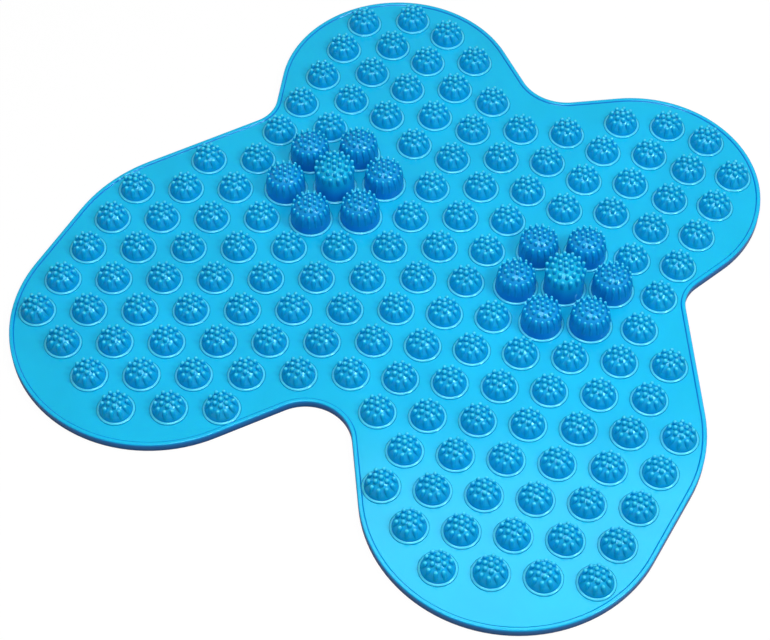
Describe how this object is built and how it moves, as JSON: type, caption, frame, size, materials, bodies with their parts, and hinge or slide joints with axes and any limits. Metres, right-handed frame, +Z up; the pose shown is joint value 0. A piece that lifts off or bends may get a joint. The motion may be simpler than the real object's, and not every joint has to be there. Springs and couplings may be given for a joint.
{
  "type": "silicone massage mat",
  "caption": "Winged foot massage mat moulded from silicone in one piece, with collared domes in staggered columns and flower-like groups of taller domes.",
  "frame": {"origin": "middle of the mat's plan, on the surface that its skirt rests on", "axes": "+X to the right wings, +Y towards the two smaller wings, +Z up out of the domes"},
  "size_m": [0.378, 0.361, 0.029],
  "materials": {
    "silicone": "glossy translucent moulded silicone"
  },
  "bodies": {
    "root": {"massage_mat": "silicone"}
  },
  "joints": []
}
